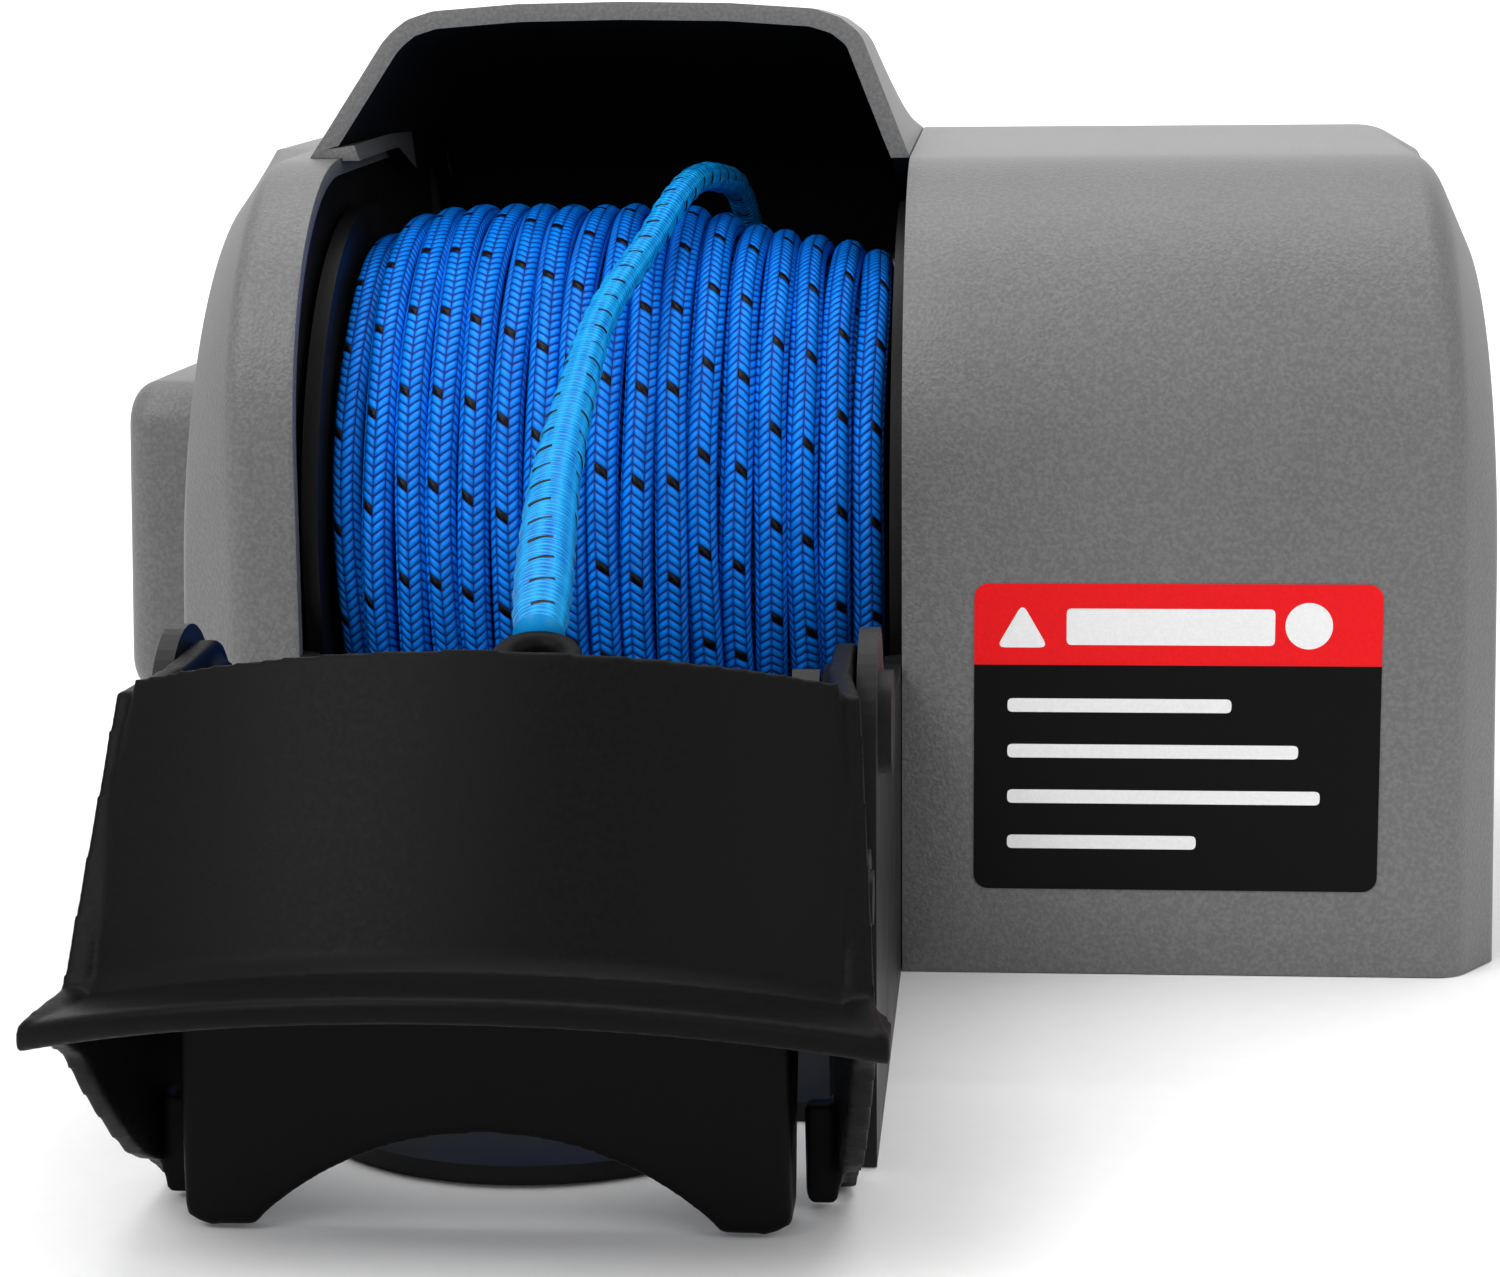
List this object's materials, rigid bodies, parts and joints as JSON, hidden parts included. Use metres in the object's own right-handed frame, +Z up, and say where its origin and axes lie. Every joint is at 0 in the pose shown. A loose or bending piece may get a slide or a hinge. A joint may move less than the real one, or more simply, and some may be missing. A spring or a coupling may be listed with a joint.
{
  "type": "anchor windlass",
  "caption": "Electric anchor windlass: a rope drum under a moulded hood, a geared motor in a side housing and a tilting bow davit with a flared mouth.",
  "frame": {"origin": "centre of the deck bolt pattern on the underside of the base plate", "axes": "+X along the drum axis towards the motor, -Y towards the davit and the bow, +Z up from the deck"},
  "size_m": [0.2611, 0.3701, 0.1754],
  "materials": {
    "black_steel": "satin black powder coat",
    "zinc_steel": "zinc plated",
    "gear_steel": "machined, oiled",
    "motor_alloy": "die cast",
    "magnet": "dull ferrite",
    "bearing_bronze": "sintered bronze",
    "terminal_brass": "bright",
    "grey_shell": "fine leather grain",
    "black_plastic": "satin moulded",
    "roller_plastic": "smooth turned nylon",
    "blue_rope": "braided with black flecks",
    "label_film": "printed film"
  },
  "bodies": {
    "frame": {"base_plate": "black_steel", "left_side_plate": "black_steel", "right_side_plate": "black_steel", "tie_rods": "zinc_steel", "tie_rod_nuts": "zinc_steel", "left_cover": "grey_shell", "end_cap": "grey_shell", "motor_cover": "grey_shell", "drum_hood": "grey_shell", "cover_screws": "zinc_steel", "warning_label": "label_film", "left_bearing": "bearing_bronze", "right_bearing": "bearing_bronze", "outer_bearing": "bearing_bronze", "rope_tail": "blue_rope", "rope_thimble": "black_plastic", "gearbox_plate": "black_steel", "gearbox_spacers": "zinc_steel", "gearbox_bolts": "zinc_steel", "idler_axle": "zinc_steel", "idler_clip": "zinc_steel", "motor_front_plate": "motor_alloy", "motor_can": "black_steel", "motor_end_bell": "motor_alloy", "motor_magnets": "magnet", "motor_screws": "zinc_steel", "power_relay": "black_plastic", "relay_terminals": "terminal_brass", "cable_gland": "black_plastic", "cable_gland_nut": "black_plastic", "davit_pivot_bolts": "black_steel", "davit_pivot_nuts": "black_steel"},
    "drum": {"drum_spool": "black_steel", "wound_rope": "blue_rope", "drum_shaft": "zinc_steel", "drum_gear": "gear_steel", "drum_gear_key": "zinc_steel", "shaft_washer": "zinc_steel", "shaft_nut": "zinc_steel", "gear_retaining_ring": "zinc_steel"},
    "idler": {"idler_gear": "gear_steel"},
    "rotor": {"motor_rotor": "gear_steel"},
    "davit": {"davit_cowl": "black_plastic", "davit_saddle": "black_plastic", "davit_axle": "black_steel", "davit_axle_clips": "black_steel"},
    "roller": {"davit_roller": "roller_plastic"}
  },
  "joints": [
    {"name": "drum_spin", "type": "hinge", "parent": "frame", "child": "drum", "pos_m": [0, -0.017, 0.076], "axis": [1, 0, 0], "continuous": true},
    {"name": "idler_spin", "type": "hinge", "parent": "frame", "child": "idler", "pos_m": [0.07, 0.03154, 0.04073], "axis": [1, 0, 0], "continuous": true},
    {"name": "motor_spin", "type": "hinge", "parent": "frame", "child": "rotor", "pos_m": [0.1, 0.04739, 0.07472], "axis": [1, 0, 0], "continuous": true},
    {"name": "davit_tilt", "type": "hinge", "parent": "frame", "child": "davit", "pos_m": [0, -0.179, 0.066], "axis": [-1, 0, 0], "range_deg": [0, 30]},
    {"name": "roller_spin", "type": "hinge", "parent": "davit", "child": "roller", "pos_m": [0, -0.208, 0.046], "axis": [1, 0, 0], "continuous": true}
  ],
  "couplings": [
    {"joint": "idler_spin", "follows": "drum_spin", "ratio": -4},
    {"joint": "motor_spin", "follows": "drum_spin", "ratio": 16}
  ]
}
